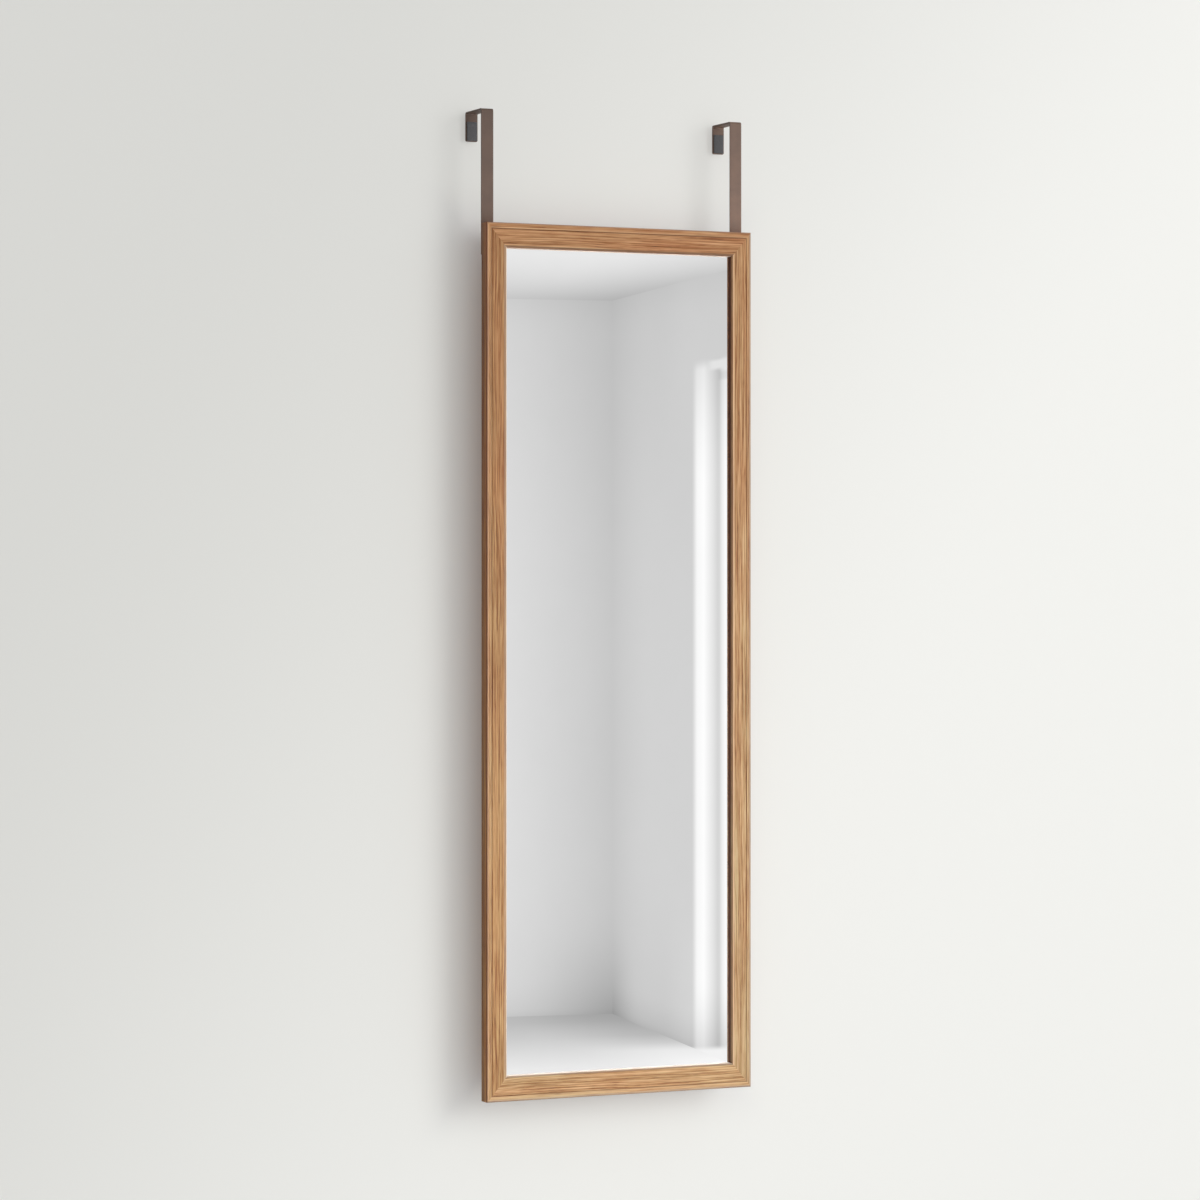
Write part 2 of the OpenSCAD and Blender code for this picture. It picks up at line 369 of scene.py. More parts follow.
# Tints of the frame's sides at two depths, the back one painted shade, and how much paler they are
# painted at the frame's foot, as light
SIDE_FRONT_DEPTH, SIDE_BACK_DEPTH = 5 * MM, 15 * MM
SIDE_FRONT_TINT, SIDE_BACK_SHADE = (1.25, 1.02, 0.74, 1), (0.79, 0.66, 0.58, 1)
SIDE_PAINTED_LIGHT = 0.22
# How much of its painted light and shade the reveal has at its front, and how much more at the
# glass
REVEAL_AMOUNT, REVEAL_DEEPER = 0.84, 0.18
# Roughness, and what the grain's tone, the sides and the reveal add to it
OAK_ROUGH, ROUGH_BY_TONE, ROUGH_ON_SIDES, ROUGH_IN_REVEAL = 0.53, -0.1, -0.15, 0.4
OAK_SPECULAR = 0.25
OAK_RELIEF = 0.12 * MM


def oak(name, across, along, face, quirk, outer, inner, rim, lip, painted_light_top, painted_light_foot=None):
    """Satin oak on one frame member.

    across and along are (axis, sign, offset) that turn a place in the row frame into the
    distance from the member's outer side and the distance round the frame. quirk says how much
    shade is painted into its groove. outer is a painted highlight along the outer edge of the
    face, inner a line near its inner edge, rim the rounded edge next to the glass and lip the
    side below it; these three are painted light on some members and painted shade on others.
    The last two arguments are tints that paint the light on the member at the frame's top and
    at its foot, lighter towards the foot and on the right.
    """
    made, tree, shader, place = material(name)
    axes = tree.split(place)
    # A rail is wider than an upright. Its figure is as much wider, and calmer too.
    narrower = STILE_FACE / face
    from_side = tree.linear(axes[across[0]], across[1], across[2])
    from_side = tree.times(from_side, narrower)
    from_front = tree.minus(axes["Y"], FRONT_Y)
    round_frame = tree.linear(axes[along[0]], along[1], along[2])
    height = tree.smooth(axes["Z"], FRAME_BOTTOM, FRAME_TOP)
    # The grain takes a tint that paints the light on the member, lighter low down and on the right
    grain = tree.group(OAK_GRAIN, {
        "Place": tree.join(from_side, from_front, round_frame),
        "Cast": tree.mix(height, (*(painted_light_foot or painted_light_top), 1), (*painted_light_top, 1)),
        "Contrast": GRAIN_CONTRAST * narrower,
    })

    def line(middle, width, value=from_side):
        return tree.group(LINE_MASK, {"Across": value, "Middle": middle, "Width": width})["Mask"]

    def up_to(distance, whole, none):
        """1 as far as whole and 0 from none on, in radii of the rounded edge."""
        return tree.smooth(distance, none * ARRIS_R, whole * ARRIS_R)

    rim_start, rim_soft = STILE_FACE - rim.width, 0.25 * ARRIS_R
    on_rim = tree.times(tree.smooth(from_side, rim_start - rim_soft, rim_start + rim_soft),
                        up_to(from_front, 0.8, 1.6))
    on_side = tree.times(up_to(from_side, 0.1, 0.5), up_to(from_front, 1.2, 0.5))
    in_reveal = tree.times(tree.smooth(from_side, STILE_FACE - 0.5 * MM, STILE_FACE),
                           up_to(from_front, 2, 1))
    # The reveal's painted light and shade is strongest down at the glass
    deep = tree.smooth(from_front, 2 * ARRIS_R, REVEAL_D)
    in_reveal = tree.times(in_reveal, tree.linear(deep, REVEAL_DEEPER, REVEAL_AMOUNT))
    # The sides are redder than the face, painted dark towards the back as shade and a little paler
    # low down as light
    depth = tree.smooth(from_front, SIDE_FRONT_DEPTH, SIDE_BACK_DEPTH)
    redder = tree.ramp(depth, [(0.0, SIDE_FRONT_TINT), (1.0, SIDE_BACK_SHADE)])
    redder = tree.tinted(grain["Color"], redder)
    redder = tree.tinted(redder, tree.linear(height, -SIDE_PAINTED_LIGHT, 1 + SIDE_PAINTED_LIGHT))
    colour = tree.mix(on_side, grain["Color"], redder)
    # Paints the shade in the quirk and along the sides, and the highlights and shade along the
    # other edges and in the reveal
    for mask, edge in (
        (line(QUIRK_ACROSS, 3 * QUIRK_R), Edge(quirk, QUIRK_SHADE)),
        (line(QUIRK_ACROSS - 2.2 * QUIRK_R, 2.4 * QUIRK_R), QUIRK_HIGHLIGHT),
        (line(STILE_FACE - inner.inset, inner.width), inner),
        (tree.times(line(0.0, outer.width), up_to(from_front, 0.5, 1.2)), outer),
        (tree.times(line(1.2 * ARRIS_R, 2.4 * ARRIS_R, from_front),
                    up_to(from_side, 0.1, 0.4)), SIDE_SHADE_LINE),
        (in_reveal, lip),
        (on_rim, rim),
    ):
        colour = tree.mix(tree.times(mask, edge.amount), colour, edge.tint)
    rough = tree.linear(grain["Tone"], ROUGH_BY_TONE, OAK_ROUGH)
    rough = tree.linear(on_side, ROUGH_ON_SIDES, rough)
    tree.fill(shader, {
        "Base Color": colour,
        "Roughness": tree.linear(in_reveal, ROUGH_IN_REVEAL, rough),
        "Specular IOR Level": OAK_SPECULAR,
    })
    add_bump(tree, shader, grain["Height"], OAK_RELIEF, 0.6)
    return made


# Per member: outer is a painted highlight; inner, rim and lip are painted light where the member
# catches the light and painted shade where it doesn't; the last tints paint the light, which grows
# towards the frame's foot and its right
OAK_MEMBERS = {
    "left_stile": dict(
        across=("X", 1, -FRAME_LEFT), along=("Z", -1, FRAME_TOP), face=STILE_FACE,
        quirk=0.45,
        outer=Edge(0.5, srgb(236, 188, 150), width=7 * MM),
        inner=Edge(0.45, srgb(170, 146, 124), width=3.6 * MM, inset=2.8 * MM),
        rim=Edge(0.85, srgb(238, 216, 192), width=1.4 * MM),
        lip=Edge(0.8, srgb(86, 46, 20)),
        painted_light_top=(0.91, 0.79, 0.61), painted_light_foot=(1.01, 1.02, 0.79)),
    "top_rail": dict(
        across=("Z", -1, FRAME_TOP), along=("X", -1, FRAME_LEFT), face=RAIL_FACE,
        quirk=0.6,
        outer=Edge(0.5, srgb(186, 156, 128), width=4 * MM),
        inner=Edge(0.65, srgb(90, 66, 50), width=3 * MM, inset=1.6 * MM),
        rim=Edge(0.8, srgb(84, 62, 50), width=0.6 * MM),
        lip=Edge(0.85, srgb(228, 210, 194)),
        painted_light_top=(1.03, 0.92, 0.8)),
    "right_stile": dict(
        across=("X", -1, FRAME_RIGHT), along=("Z", 1, -FRAME_TOP - FRAME_W), face=STILE_FACE,
        quirk=0.35,
        outer=Edge(0.65, srgb(190, 164, 142), width=8 * MM),
        inner=Edge(0.6, srgb(240, 200, 160), width=2.8 * MM, inset=1.9 * MM),
        rim=Edge(0.6, srgb(96, 58, 32), width=0.8 * MM),
        lip=Edge(0.98, srgb(66, 27, 4)),
        painted_light_top=(1.02, 0.98, 0.86), painted_light_foot=(1.07, 1.23, 1.2)),
    "bottom_rail": dict(
        across=("Z", 1, -FRAME_BOTTOM), along=("X", 1, -FRAME_RIGHT - FRAME_W - FRAME_H),
        face=RAIL_FACE, quirk=0.4,
        outer=Edge(0.6, srgb(184, 160, 138), width=7 * MM),
        inner=Edge(0.75, srgb(140, 114, 90), width=3 * MM, inset=0.8 * MM),
        rim=Edge(0.3, srgb(216, 196, 176), width=0.6 * MM),
        lip=Edge(0.85, srgb(242, 230, 216)),
        painted_light_top=(1.18, 1.28, 1.22)),
}


# ---------------------------------------------------------------- other finishes

def mirror_glass():
    """Silvered glass with a trace of haze."""
    made, tree, shader, place = material("mirror_glass")
    haze = tree.group(SPECKLE, {"Place": place, "Cells": 30.0, "Drift": 6.0})["Tone"]
    tree.fill(shader, {
        "Base Color": tree.ramp(haze, [(0.35, 0.93), (0.65, 0.945)]),
        "Metallic": 1.0,
        "Roughness": 0.0,
    })
    return made


def strap_paint():
    """Satin powder coat, a little paler on the right and lower down."""
    made, tree, shader, place = material("strap_paint")
    speckle = tree.group(SPECKLE, {"Place": place, "Cells": 1800.0, "Drift": 60.0})
    colour = tree.ramp(speckle["Tone"], [(0.35, srgb(88, 66, 53)), (0.65, srgb(101, 77, 62))])
    axes = tree.split(place)
    # Painted light: the right strap and the lower part of each strap are painted paler, where more
    # light falls
    aside = tree.ramp(tree.smooth(axes["X"], -0.1, 0.1), [(0.0, 0.69), (1.0, 1.0)])
    lower = tree.ramp(tree.smooth(axes["Z"], 0.0, -0.14), [(0.0, 0.8), (1.0, 1.0)])
    paler = tree.tinted(tree.tinted(aside, lower), (1.57, 1.54, 1.54, 1))
    tree.fill(shader, {
        "Base Color": tree.tinted(colour, paler),
        "Roughness": tree.linear(speckle["Tone"], 0.3, 0.35),
    })
    add_bump(tree, shader, speckle["Height"], 0.05 * MM, 0.5)
    return made


def bare_steel(name, colour, roughness):
    """Rolled or plated steel with fine lines."""
    made, tree, shader, place = material(name)
    lines = tree.noise(place, (300, 2500, 2500), detail=3.0)
    bright = (*(min(1.0, c * 1.12) for c in colour[:3]), 1.0)
    tree.fill(shader, {
        "Base Color": tree.ramp(lines, [(0.3, colour), (0.7, bright)]),
        "Metallic": 1.0,
        "Roughness": tree.linear(lines, 0.25, roughness),
    })
    add_bump(tree, shader, lines, 0.02 * MM, 0.4)
    return made


def hardboard():
    """Matt brown board of pressed fibres, with faint stains."""
    made, tree, shader, place = material("hardboard")
    speckle = tree.group(SPECKLE, {"Place": place, "Cells": 900.0, "Drift": 12.0})
    fibres = tree.noise(place, (500, 500, 160), detail=4.0, roughness=0.7)
    colour = tree.ramp(fibres, [
        (0.3, srgb(104, 74, 50)), (0.5, srgb(128, 94, 66)), (0.72, srgb(150, 114, 82))])
    stain = tree.ramp(speckle["Tone"], [(0.3, 0.84), (0.7, 1.0)])
    tree.fill(shader, {"Base Color": tree.tinted(colour, stain), "Roughness": 0.78})
    add_bump(tree, shader, fibres, 0.15 * MM, 0.5)
    return made


def soft_felt():
    """Pressed grey felt with a soft nap."""
    made, tree, shader, place = material("felt")
    hairs = tree.noise(place, (2200, 2200, 900), detail=5.0, roughness=0.75)
    tree.fill(shader, {
        "Base Color": tree.ramp(hairs, [(0.3, srgb(58, 58, 60)), (0.7, srgb(104, 104, 106))]),
        "Roughness": 0.95,
        "Sheen Weight": 0.4,
        "Sheen Roughness": 0.5,
    })
    add_bump(tree, shader, hairs, 0.3 * MM, 0.8)
    return made


def white_foam():
    """White foam with open cells."""
    made, tree, shader, place = material("foam")
    cells = tree.out("ShaderNodeTexVoronoi", {"Vector": place, "Scale": 900.0})
    tree.fill(shader, {
        "Base Color": tree.ramp(cells, [(0.0, srgb(214, 214, 212)), (0.6, srgb(242, 242, 240))]),
        "Roughness": 0.85,
    })
    add_bump(tree, shader, cells, 0.2 * MM, 0.5)
    return made


def bumper_rubber():
    """Clear soft bumper, a little milky."""
    made, tree, shader, place = material("bumper_rubber")
    tone = tree.group(SPECKLE, {"Place": place, "Cells": 2500.0, "Drift": 150.0})["Tone"]
    tree.fill(shader, {
        "Base Color": tree.ramp(tone, [(0.3, srgb(196, 199, 196)), (0.7, srgb(220, 223, 220))]),
        "Roughness": tree.linear(tone, 0.2, 0.22),
        "Subsurface Weight": 0.3,
        "Subsurface Scale": 2 * MM,
    })
    return made


# ---------------------------------------------------------------- finishes on the nodes

EASED_EDGE = 0.3 * MM


def paint(node, made):
    """Gives a CAD node or a piece one material in every slot."""
    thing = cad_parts[node] if isinstance(node, str) else node
    slots = thing.material_slots
    if not slots:
        thing.data.materials.append(made)
    for slot in slots:
        slot.material = made


def ease_edges(node, width):
    """Breaks a node's sharp edges so that they catch the light."""
    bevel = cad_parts[node].modifiers.new("eased_edges", "BEVEL")
    bevel.width = width
    bevel.segments = 2
    bevel.limit_method = "ANGLE"
    bevel.angle_limit = math.radians(50)


for node, finish in OAK_MEMBERS.items():
    paint(node, oak("oak_" + node, **finish))
paint("mirror_pane", mirror_glass())
paint("backing_board", hardboard())
TAB_STEEL = bare_steel("tab_steel", srgb(176, 176, 176), 0.3)
SCREW_STEEL = bare_steel("screw_steel", srgb(186, 184, 176), 0.22)
STRAP_PAINT = strap_paint()
RUBBER = bumper_rubber()
for side in ("left", "right", "top", "bottom"):
    paint(side + "_tabs", TAB_STEEL)
for corner in ("top_left", "top_right", "bottom_left", "bottom_right"):
    paint(corner + "_wedge", TAB_STEEL)
for side in ("left", "right"):
    paint(side + "_hook", STRAP_PAINT)
    ease_edges(side + "_hook", EASED_EDGE)
    paint(side + "_hook_screws", SCREW_STEEL)
    paint(side + "_bumper", RUBBER)


# ---------------------------------------------------------------- soft pieces

def soft_block(name, low, high, step, ease, ripple, made):
    """Rounded soft block in the box from low to high, with a slightly uneven face.

    step is the size of its faces, ease the radius of its edges and ripple the most that its
    face dips.
    """
    mesh = bpy.data.meshes.new(name)
    built = bmesh.new()
    size = high - low
    bmesh.ops.create_cube(built, size=1.0)
    for vertex in built.verts:
        vertex.co = low + Vector((s * (c + 0.5) for s, c in zip(size, vertex.co)))
    for axis, length in enumerate(size):
        edges = [e for e in built.edges
                 if abs(e.verts[0].co[axis] - e.verts[1].co[axis]) > length / 2]
        cuts = round(length / step) - 1
        if cuts > 0:
            bmesh.ops.subdivide_edges(built, edges=edges, cuts=cuts, use_grid_fill=True)
    dip_span = 6 * step
    for vertex in built.verts:
        inner = Vector(
            max(start + ease, min(end - ease, at)) for start, end, at in zip(low, high, vertex.co))
        out = vertex.co - inner
        if out.length > 0:
            dip = ripple * (0.5 + 0.5 * noise.noise(vertex.co / dip_span))
            vertex.co = inner + out.normalized() * (ease - dip)
    bmesh.ops.recalc_face_normals(built, faces=built.faces)
    built.to_mesh(mesh)
    built.free()
    for polygon in mesh.polygons:
        polygon.use_smooth = True
    piece = bpy.data.objects.new(name, mesh)
    bpy.context.scene.collection.objects.link(piece)
    paint(piece, made)
    return piece


def soften(node, name, step, ease, ripple, made):
    """Puts a soft block in the place of a soft node."""
    piece = soft_block(name, *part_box(node), step, ease, ripple, made)
    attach(piece, "root")
    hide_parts(node)


FELT = soft_felt()
for side in ("left", "right"):
    soften(side + "_hook_pad", side + "_felt_pad",
           step=0.8 * MM, ease=0.6 * MM, ripple=0.12 * MM, made=FELT)
soften("foam_sheet", "foam_lining",
       step=20 * MM, ease=0.4 * MM, ripple=0.05 * MM, made=white_foam())


# ---------------------------------------------------------------- stage

WALL_GAP = 6 * MM
FLOOR_DROP = 0.45
STAGE_SPAN = 14.0
# The wall is painted from dull to bright, as light, over these values of x - 0.65 z
STAGE_DULL, STAGE_BRIGHT = srgb(229, 229, 225), srgb(253, 253, 249)
TONE_SLOPE, TONE_SPAN = -0.65, (-0.5, 1.0)
# Heights and depths over which the floor's even tone sets in, and its share
FLOOR_TONE_Z, FLOOR_TONE_Y, FLOOR_TONE = (-1.4, -1.65), (0.0, -0.8), 0.85
# Distances from the mirror over which the stage fades to white
FADE_SPAN = (1.2, 4.5)
# How much of its own tone the stage shows to the camera in the open and behind the frame, and
# the distances outside the frame's edge between the two
LIFT_OPEN, LIFT_BEHIND = 0.5, 0.035
OPEN_SPAN = (-0.055, 0.07)
# It balances the warm light that the wood throws on the wall
COOLER = (0.95, 0.965, 1.04, 1)


def stage_sheet(name, corners):
    mesh = bpy.data.meshes.new(name)
    mesh.from_pydata([Vector(c) for c in corners], [], [(0, 1, 2, 3)])
    piece = bpy.data.objects.new(name, mesh)
    bpy.context.scene.collection.objects.link(piece)
    return piece


def stage_paint():
    """Matt pale paint on one side; the other side lets every ray through."""
    made, tree, place = bare_material("stage_paint")
    axes = tree.split(place)
    # The wall is painted palest at the lower right, as light
    low_right = tree.linear(axes["Z"], TONE_SLOPE, axes["X"])
    pale = tree.mix(tree.smooth(low_right, *TONE_SPAN), STAGE_DULL, STAGE_BRIGHT)
    # On the floor and far off it has one even tone
    low_down = tree.times(tree.smooth(axes["Z"], *FLOOR_TONE_Z),
                          tree.smooth(axes["Y"], *FLOOR_TONE_Y))
    pale = tree.mix(low_down, pale, STAGE_BRIGHT)
    far_off = tree.smooth(tree.length(tree.join(axes["X"], axes["Y"])), *FADE_SPAN)
    pale = tree.mix(far_off, pale, WHITE)
    even = tree.math("MAXIMUM", far_off, tree.times(low_down, FLOOR_TONE))
    # Brighter to the camera than the lamps make it, but not close behind the frame
    beside = tree.minus(tree.math("ABSOLUTE", axes["X"]), FRAME_RIGHT)
    below = tree.minus(FRAME_BOTTOM, axes["Z"])
    above = tree.minus(axes["Z"], FRAME_TOP)
    outside = tree.math("MAXIMUM", beside, tree.math("MAXIMUM", below, above))
    in_open = tree.smooth(outside, *OPEN_SPAN)
    lift = tree.linear(in_open, LIFT_OPEN - LIFT_BEHIND, LIFT_BEHIND)
    lift = tree.math("MAXIMUM", lift, even)
    paint_layer = tree.out("ShaderNodeBsdfPrincipled", {
        "Base Color": tree.mix(in_open, tree.tinted(pale, COOLER), pale),
        "Roughness": 0.9,
        "Specular IOR Level": 0.1,
    })
    own_tone = tree.out("ShaderNodeEmission", {"Color": pale, "Strength": 1.0})
    seen = tree.add("ShaderNodeLightPath").outputs["Is Camera Ray"]
    front = tree.out("ShaderNodeMixShader", {
        0: tree.times(seen, lift), 1: paint_layer, 2: own_tone})
    clear = tree.out("ShaderNodeBsdfTransparent")
    behind = tree.add("ShaderNodeNewGeometry").outputs["Backfacing"]
    tree.show(tree.out("ShaderNodeMixShader", {0: behind, 1: front, 2: clear}))
    return made


def make_stage():
    """Floor below the mirror and a wall just behind it, both seen only from the front."""
    floor_z = FRAME_BOTTOM - FLOOR_DROP
    wall_y = cad_high.y + WALL_GAP
    half = STAGE_SPAN / 2
    floor = stage_sheet("floor", [
        (-half, -half, floor_z), (half, -half, floor_z),
        (half, half, floor_z), (-half, half, floor_z)])
    wall = stage_sheet("wall", [
        (-half, wall_y, floor_z), (half, wall_y, floor_z),
        (half, wall_y, half), (-half, wall_y, half)])
    pale = stage_paint()
    for piece in (floor, wall):
        paint(piece, pale)
        piece.visible_shadow = False
        piece.visible_diffuse = False
    floor.visible_glossy = False


# ---------------------------------------------------------------- room in the glass

# The pale room that the glass reflects: sheets that glow though they are no lamps, with the
# room's light and shade painted into their glow. Only glossy rays see it. Its own x runs along the
# far wall from the corner that the glass shows, and its own y along the side wall towards the
# glass. A level of 1 is white.
ROOM_CORNER = (3.2765, -7.0234)
ROOM_TURN = math.radians(10.45)
ROOM_FLOOR, ROOM_CEILING = -1.997, 0.311
ROOM_WIDTH, ROOM_LENGTH = 6.5, 9.0
# The walls' levels, two of them by the share of the wall's length from a corner
FAR_WALL_LEVELS = ((0.0, 0.98), (0.3, 0.8), (1.0, 0.55))
SIDE_WALL_LEVEL = 0.685
DIM_SIDE_LEVELS = ((0.0, 0.56), (0.5, 0.7), (1.0, 0.8))
# Shades: how far each reaches, and the least share of the level that it leaves
WALL_TOP_SHADES = ((1.2, 0.9), (0.12, 0.95))
WALL_FOOT_SHADE, WALL_JOINT_SHADE = (0.5, 0.9), (0.028, 0.94)
WALL_FOOT_REACH = 0.12
CORNER_FOOT_SHADE = (0.35, 0.74)
WINDOW_TOP_SHADE, WINDOW_FOOT_SHADE = (0.38, 0.82), (0.2, 0.76)
CEILING_FAR_SHADE, CEILING_SIDE_SHADE = (2.2, 0.7), (0.5, 0.78)
GROUND_FAR_SHADES = ((3.5, 0.8), (0.6, 0.8))
GROUND_CORNER_SHADE = (0.5, 0.93)
# The bright floor climbs up the foot of the side wall from this y on
CLIMB_START, CLIMB = 0.9, 0.13
CLIMB_LEVEL, CLIMB_SOFT = 0.95, 0.02
# The window in the side wall, with its levels by the distance from its start
WINDOW_START, WINDOW_END, WINDOW_TOP = 0.97, 3.4, 0.05
WINDOW_SOFT, WINDOW_TOP_SOFT = 0.07, 0.02
WINDOW_GAIN = 1.1
WINDOW_LEVELS = (
    (0.0, 0.89), (0.1, 0.96), (0.139, 0.875), (0.2, 0.755), (0.245, 0.65), (0.264, 0.66),
    (0.293, 0.83), (0.325, 0.93),
)
# The wall is a little brighter beside the window's foot and top: by how much, and over which y
# and which heights this sets in
NEAR_FOOT = (0.1, (0.6, 1.0), (0.55, 0.05))
NEAR_TOP = (0.055, (0.5, 0.95), (-0.35, 0.1))
# The recess of the window has a bright upper edge and a shade below it: over which distances
# from the window's start each sets in, and its heights from the window's top
RECESS_EDGE = ((0.12, 0.2), (-0.022, 0.005))
RECESS_SHADE = ((0.24, 0.28), (-0.055, -0.03))
RECESS_SOFT = 0.014
RECESS_EDGE_LEVEL, RECESS_SHADE_GAIN = 0.83, -0.12
CEILING_LEVEL = 0.88
# The floor's levels by y in shares of a span, and what is left of them at the side wall's foot
GROUND_SPAN = 4.0
GROUND_LEVELS = (
    (0.0, 0.53), (0.05, 0.54), (0.15, 0.645), (0.24, 0.765), (0.33, 0.88), (0.42, 0.96),
)
GROUND_FOOT_SHARES = (((0.15, 0.8), (0.24, 1.0)), ((0.2, 0.87), (0.25, 1.0)))
GROUND_FOOT_GAIN, GROUND_FOOT_REACH = 1.15, 0.4


def even_light(name, level_of):
    """Even light whose level level_of(tree, x, y, z) works out from a place in the room."""
    made, tree, place = bare_material(name)
    axes = tree.split(place)
    level = level_of(tree, axes["X"], axes["Y"], axes["Z"])
    grey = tree.out("ShaderNodeCombineColor", {"Red": level, "Green": level, "Blue": level})
    tree.show(tree.out("ShaderNodeEmission", {"Color": grey}))
    return made


def dims(tree, level, value, reach, least):
    """Level that falls to least of itself where value is 0, and is whole from reach on."""
    share = tree.linear(tree.smooth(value, -reach, reach), 2.0, -1.0)
    return tree.times(level, tree.linear(share, 1 - least, least))


def brightens(tree, level, share, gain):
    """Level that grows by gain of itself where share is 1."""
    return tree.times(level, tree.linear(share, gain, 1.0))


def corner_foot_dims(tree, level, x, y, above_floor, reach, least):
    """Level dimmed round the foot of the corner."""
    return dims(tree, level, tree.length(tree.join(x, y, above_floor)), reach, least)


def wall_level(tree, level, from_corner, z, above_floor, reach, least, foot):
    """A wall's light, dimmer along the corner, the ceiling and the floor."""
    below_ceiling = tree.minus(ROOM_CEILING, z)
    for value, shade in (
        (from_corner, (reach, least)),
        *((below_ceiling, shade) for shade in WALL_TOP_SHADES),
        (above_floor, WALL_FOOT_SHADE),
        (above_floor, (WALL_FOOT_REACH, foot)),
        (above_floor, WALL_JOINT_SHADE),
    ):
        level = dims(tree, level, value, *shade)
    return corner_foot_dims(tree, level, from_corner, 0.0, above_floor, *CORNER_FOOT_SHADE)


def far_wall_level(tree, x, y, z):
    level = tree.ramp(tree.math("DIVIDE", x, -ROOM_WIDTH), FAR_WALL_LEVELS)
    return wall_level(tree, level, tree.times(x, -1.0), z, tree.minus(z, ROOM_FLOOR),
                      reach=1.0, least=0.623, foot=0.92)


def dim_side_level(tree, x, y, z):
    level = tree.ramp(tree.math("DIVIDE", y, ROOM_LENGTH), DIM_SIDE_LEVELS)
    return wall_level(tree, level, y, z, tree.minus(z, ROOM_FLOOR),
                      reach=1.0, least=0.75, foot=0.92)


def side_wall_level(tree, x, y, z):
    rise = tree.times(tree.math("MAXIMUM", tree.minus(y, CLIMB_START), 0.0), CLIMB)
    above_floor = tree.minus(tree.minus(z, ROOM_FLOOR), rise)
    level = wall_level(tree, SIDE_WALL_LEVEL, y, z, above_floor, reach=0.5, least=0.89, foot=0.85)
    for (gain, along, upwards), height in ((NEAR_FOOT, above_floor), (NEAR_TOP, z)):
        near = tree.times(tree.smooth(y, *along), tree.smooth(height, *upwards))
        level = brightens(tree, level, near, gain)
    from_start = tree.minus(y, WINDOW_START)
    lit = tree.times(tree.ramp(from_start, WINDOW_LEVELS), WINDOW_GAIN)
    lit = dims(tree, lit, tree.minus(WINDOW_TOP, z), *WINDOW_TOP_SHADE)
    lit = dims(tree, lit, above_floor, *WINDOW_FOOT_SHADE)
    window = tree.times(
        tree.band(y, WINDOW_START, WINDOW_END, WINDOW_SOFT),
        tree.smooth(z, WINDOW_TOP + WINDOW_TOP_SOFT, WINDOW_TOP - WINDOW_TOP_SOFT))
    level = tree.towards(window, level, lit)

    def in_recess(along, heights):
        low, high = (WINDOW_TOP + height for height in heights)
        return tree.times(tree.smooth(from_start, *along), tree.band(z, low, high, RECESS_SOFT))

    level = tree.towards(in_recess(*RECESS_EDGE), level, RECESS_EDGE_LEVEL)
    level = brightens(tree, level, in_recess(*RECESS_SHADE), RECESS_SHADE_GAIN)
    return tree.towards(tree.smooth(above_floor, 0.0, -CLIMB_SOFT), level, CLIMB_LEVEL)


def ceiling_level(tree, x, y, z):
    level = dims(tree, CEILING_LEVEL, y, *CEILING_FAR_SHADE)
    return dims(tree, level, tree.times(x, -1.0), *CEILING_SIDE_SHADE)


def ground_level(tree, x, y, z):
    """Dark along the walls, nearly white towards the glass."""
    along = tree.math("DIVIDE", y, GROUND_SPAN)
    level = tree.ramp(along, GROUND_LEVELS)
    # Beside the side wall it is darker as far as the window, and brighter from there
    foot = tree.times(*(tree.ramp(along, stops) for stops in GROUND_FOOT_SHARES))
    foot = tree.times(foot, GROUND_FOOT_GAIN)
    away = tree.smooth(tree.times(x, -1.0), 0.0, GROUND_FOOT_REACH)
    away = tree.times(away, tree.minus(1.0, foot))
    level = tree.times(level, tree.math("ADD", foot, away))
    # It fades again towards the far side of the room
    from_far_side = tree.math("ADD", x, ROOM_WIDTH)
    for shade in GROUND_FAR_SHADES:
        level = dims(tree, level, from_far_side, *shade)
    return corner_foot_dims(tree, level, x, y, 0.0, *GROUND_CORNER_SHADE)


def leave_to_gloss(piece):
    """Lets only glossy rays see a piece."""
    for ray in ("camera", "diffuse", "transmission", "volume_scatter", "shadow"):
        setattr(piece, "visible_" + ray, False)


def make_reflected_room():
    left, right = -ROOM_WIDTH, 0
    far, near = 0, ROOM_LENGTH

    def upright(start, end):
        return [(*start, ROOM_FLOOR), (*end, ROOM_FLOOR),
                (*end, ROOM_CEILING), (*start, ROOM_CEILING)]

    def level_at(z):
        return [(left, far, z), (right, far, z), (right, near, z), (left, near, z)]

    for name, level_of, corners in (
        ("far_wall", far_wall_level, upright((left, far), (right, far))),
        ("side_wall", side_wall_level, upright((right, far), (right, near))),
        ("dim_side", dim_side_level, upright((left, far), (left, near))),
        ("ceiling", ceiling_level, level_at(ROOM_CEILING)),
        ("ground", ground_level, level_at(ROOM_FLOOR)),
    ):
        piece = stage_sheet("reflected_" + name, corners)
        piece.location = (*ROOM_CORNER, 0)
        piece.rotation_euler.z = ROOM_TURN
        paint(piece, even_light("reflected_" + name, level_of))
        leave_to_gloss(piece)


# ---------------------------------------------------------------- sheen

# A sheet in front that glows as a soft window, though it is no lamp, brightest level with the
# middle of the mirror. Satin finishes catch its glow as a sheen, and the clear glass doesn't show
# it.
SHEEN_Y = -1.0
SHEEN_LEFT, SHEEN_RIGHT = -0.6, 1.6
SHEEN_BOTTOM, SHEEN_TOP = -2.8, 1.0
SHEEN_STRENGTH = 9.5
# Its left edge level with the frame's top, how far this leans out to the left on the way down
# to the frame's foot, and the heights of the two
SHEEN_EDGE, SHEEN_LEAN, SHEEN_LEAN_Z = 0.3, -0.9, (-0.1, -1.2)
SHEEN_SOFT_LEFT, SHEEN_SOFT_RIGHT = 0.7, 1
# Its levels by shares of its height
SHEEN_LEVELS = (
    (0.0, 0.0), (0.15, 0.45), (0.4, 0.65), (0.55, 1.0), (0.7, 0.35), (0.85, 0.08), (1.0, 0.0),
)


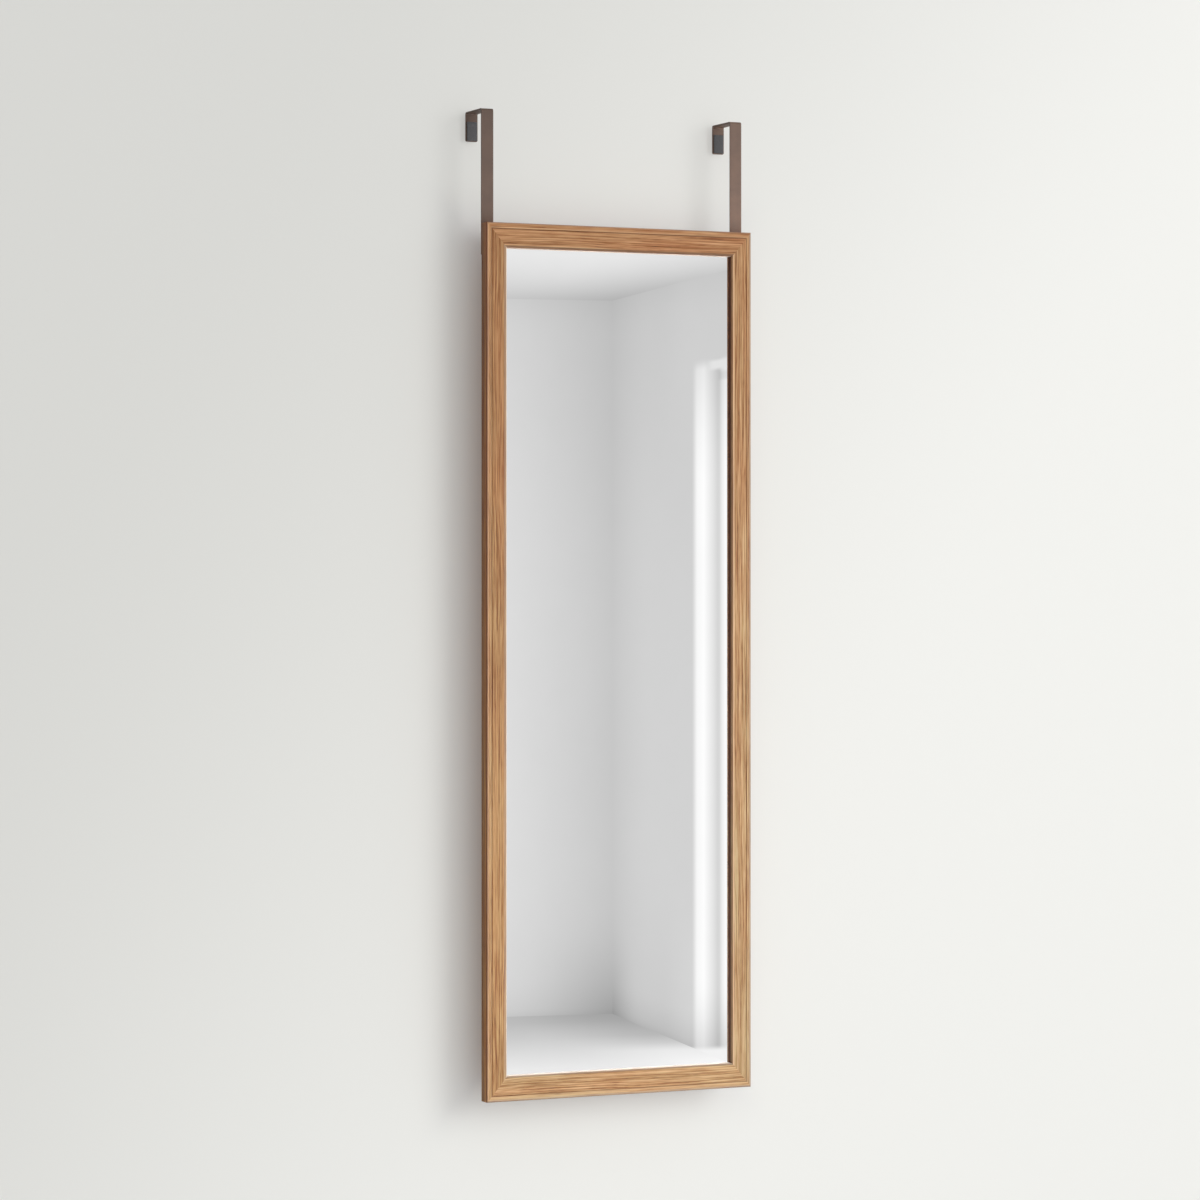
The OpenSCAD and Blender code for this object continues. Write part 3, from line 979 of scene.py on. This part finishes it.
def make_sheen_window():
    made, tree, place = bare_material("sheen_window")
    axes = tree.split(place)
    edge = tree.linear(tree.smooth(axes["Z"], *SHEEN_LEAN_Z), SHEEN_LEAN, SHEEN_EDGE)
    level = tree.times(
        tree.smooth(tree.minus(axes["X"], edge), 0.0, SHEEN_SOFT_LEFT),
        tree.smooth(axes["X"], SHEEN_RIGHT, SHEEN_RIGHT - SHEEN_SOFT_RIGHT))
    height = tree.math("DIVIDE", tree.minus(axes["Z"], SHEEN_BOTTOM), SHEEN_TOP - SHEEN_BOTTOM)
    level = tree.times(level, tree.ramp(height, SHEEN_LEVELS))
    mirrored = tree.add("ShaderNodeLightPath").outputs["Is Singular Ray"]
    level = tree.times(level, tree.minus(1.0, mirrored))
    light = tree.out("ShaderNodeEmission", {"Strength": tree.times(level, SHEEN_STRENGTH)})
    clear = tree.out("ShaderNodeBsdfTransparent")
    tree.show(tree.out("ShaderNodeAddShader", {0: light, 1: clear}))
    piece = stage_sheet("sheen_window", [
        (SHEEN_LEFT, SHEEN_Y, SHEEN_BOTTOM), (SHEEN_RIGHT, SHEEN_Y, SHEEN_BOTTOM),
        (SHEEN_RIGHT, SHEEN_Y, SHEEN_TOP), (SHEEN_LEFT, SHEEN_Y, SHEEN_TOP)])
    paint(piece, made)
    leave_to_gloss(piece)


# ---------------------------------------------------------------- light

SKY_BRIGHTEST = Vector((0.45, -0.8, 0.35)).normalized()
SKY_LOW, SKY_RISE = 0.2, 0.66
MIRROR_MIDDLE = Vector((0, FRONT_Y, (FRAME_BOTTOM + FRAME_TOP) / 2))


def area_light(name, place, size, power):
    """Round lamp that shines on the mirror's middle, unseen by the camera and in gloss."""
    lamp = bpy.data.lights.new(name, "AREA")
    lamp.shape = "DISK"
    lamp.size = size
    lamp.energy = power
    light = bpy.data.objects.new(name, lamp)
    light.location = place
    light.rotation_euler = (MIRROR_MIDDLE - Vector(place)).to_track_quat("-Z", "Y").to_euler()
    light.visible_glossy = False
    light.visible_camera = False
    bpy.context.scene.collection.objects.link(light)


def make_world():
    """Soft light from all round, most of it from the upper right of the front.

    It is white wherever the camera, a gloss or a clear piece looks past everything else.
    """
    world = bpy.data.worlds.new("studio_air")
    tree = empty_tree(world)
    rays = tree.add("ShaderNodeLightPath").outputs
    seen = tree.math("MAXIMUM", rays["Is Camera Ray"], rays["Is Glossy Ray"])
    seen = tree.math("MAXIMUM", seen, rays["Is Transmission Ray"])
    facing = tree.dot(tree.add("ShaderNodeTexCoord").outputs["Generated"], SKY_BRIGHTEST)
    level = tree.linear(tree.math("MAXIMUM", facing, 0.0), SKY_RISE, SKY_LOW)
    air = tree.out("ShaderNodeBackground", {"Color": WHITE, "Strength": level})
    white = tree.out("ShaderNodeBackground", {"Color": WHITE, "Strength": 1.0})
    tree.show(tree.out("ShaderNodeMixShader", {0: seen, 1: air, 2: white}),
              output="ShaderNodeOutputWorld")
    bpy.context.scene.world = world


# ---------------------------------------------------------------- camera

# The photograph's frame, and what the fitted camera gave in it
PHOTO_PX = 1200
FOCAL_PX = 3923
HORIZON_PX = 578.2
CAMERA_AZIMUTH = math.radians(-25.0)
CAMERA_DISTANCE = 4.975
CAMERA_HEIGHT = 0.655
MIRROR_OFFSET = 0.0269
SENSOR = 36.0


def make_camera():
    """Level camera to the left of the mirror, its height measured from the frame's bottom."""
    data = bpy.data.cameras.new("camera")
    data.sensor_width = SENSOR
    data.lens = SENSOR * FOCAL_PX / PHOTO_PX
    data.shift_y = (HORIZON_PX - PHOTO_PX / 2) / PHOTO_PX
    camera = bpy.data.objects.new("camera", data)
    ahead = Vector((-math.sin(CAMERA_AZIMUTH), math.cos(CAMERA_AZIMUTH), 0))
    right = Vector((ahead.y, -ahead.x, 0))
    centre = Vector(((FRAME_LEFT + FRAME_RIGHT) / 2, FRONT_Y, FRAME_BOTTOM + CAMERA_HEIGHT))
    camera.location = centre - ahead * CAMERA_DISTANCE - right * MIRROR_OFFSET
    camera.rotation_euler = (math.radians(90), 0, CAMERA_AZIMUTH)
    bpy.context.scene.collection.objects.link(camera)
    bpy.context.scene.camera = camera


make_camera()
make_stage()
make_reflected_room()
make_sheen_window()
make_world()
area_light("key_light", (1.7, -3.8, 0.2), size=2.4, power=46)
area_light("back_light", (1.6, 2.6, 0.2), size=2.0, power=60)
bpy.context.scene.view_settings.view_transform = "Standard"
